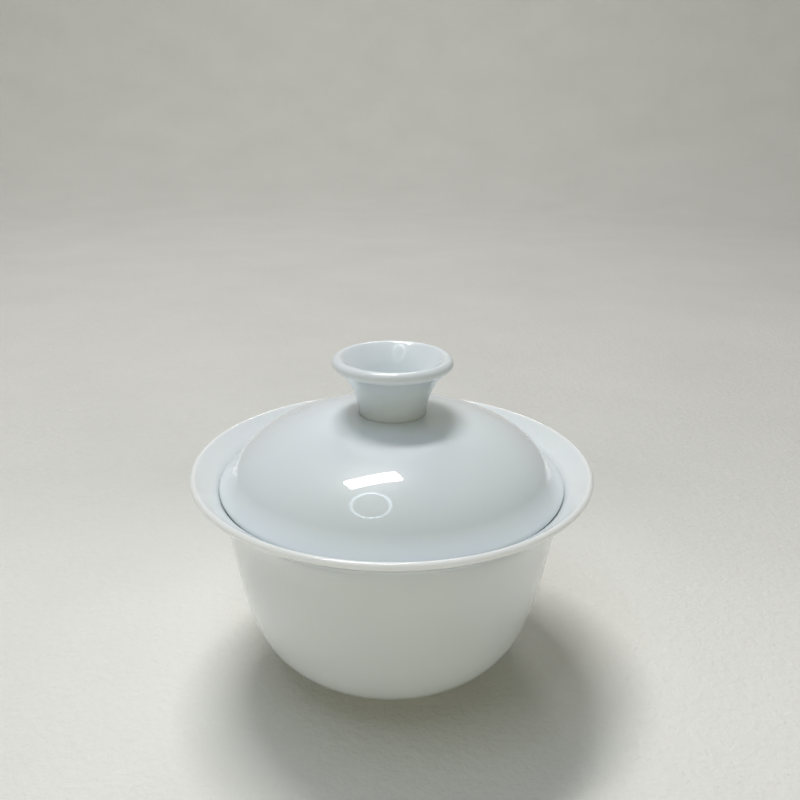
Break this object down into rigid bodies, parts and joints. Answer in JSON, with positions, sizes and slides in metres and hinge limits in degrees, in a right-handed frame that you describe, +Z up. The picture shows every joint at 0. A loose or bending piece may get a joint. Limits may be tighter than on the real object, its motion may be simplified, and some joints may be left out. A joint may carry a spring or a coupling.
{
  "type": "gaiwan",
  "caption": "Lidded tea bowl in pale glazed porcelain: flared bowl on a low foot ring, domed lid with a narrow brim and a hollow trumpet knob.",
  "frame": {"origin": "centre of the foot ring's flat contact face, where the bowl stands on the table", "axes": "+Z up along the axis that every piece is turned about, towards the lid's knob; +X and +Y are alike, because the object is round"},
  "size_m": [0.098, 0.098, 0.0824],
  "materials": {
    "glaze": "clear gloss glaze over cool white porcelain",
    "biscuit": "matte unglazed"
  },
  "bodies": {
    "bowl": {"bowl": "glaze", "foot_ring": "biscuit"},
    "lid": {"lid": "glaze", "lid_knob": "glaze"}
  },
  "joints": [
    {"name": "lid_lift", "type": "slide", "parent": "bowl", "child": "lid", "axis": [0, 0, 1], "range_m": [0, 0.075]}
  ]
}
